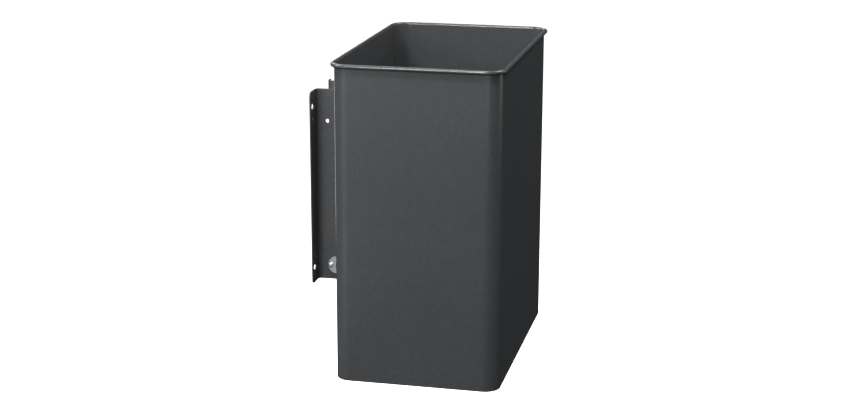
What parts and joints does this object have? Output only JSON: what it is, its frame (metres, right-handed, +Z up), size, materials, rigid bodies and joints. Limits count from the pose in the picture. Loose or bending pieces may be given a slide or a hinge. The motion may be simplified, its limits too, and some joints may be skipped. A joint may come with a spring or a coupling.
{
  "type": "wall-mounted litter bin",
  "caption": "Open-top rectangular steel litter bin with a curled rim that hooks onto a hat-section wall bracket and is held by a quarter-turn lock.",
  "frame": {"origin": "centre of the bracket's four wall slots, on the wall face", "axes": "+Z up; +Y out of the bracket's back, into the wall; the bin hangs on the -Y side; +X along the wall, so the lock is on the -X side"},
  "size_m": [0.3284, 0.2617, 0.385],
  "materials": {
    "powder_coat": "anthracite powder coat with a fine metallic fleck, satin",
    "zinc": "zinc plated, dull grey",
    "rivet_aluminium": "bright",
    "wire": "drawn steel wire, hidden in the rim"
  },
  "bodies": {
    "bracket": {"wall_bracket": "powder_coat", "lock_housing": "zinc", "lock_rivets": "rivet_aluminium"},
    "bin": {"bin_shell": "powder_coat", "rim_wire": "wire", "base_pan": "powder_coat", "hanger_plate": "powder_coat", "hanger_rivets": "rivet_aluminium", "catch_plate": "powder_coat", "catch_rivets": "rivet_aluminium"},
    "lock": {"lock_plug": "zinc", "lock_cam": "zinc", "cam_washer": "zinc", "cam_screw": "zinc"}
  },
  "joints": [
    {"name": "bin_lift", "type": "slide", "parent": "bracket", "child": "bin", "axis": [0, 0, 1], "range_m": [0, 0.03]},
    {"name": "lock_turn", "type": "hinge", "parent": "bracket", "child": "lock", "pos_m": [-0.017, -0.025, -0.1035], "axis": [1, 0, 0], "range_deg": [0, 90]}
  ]
}
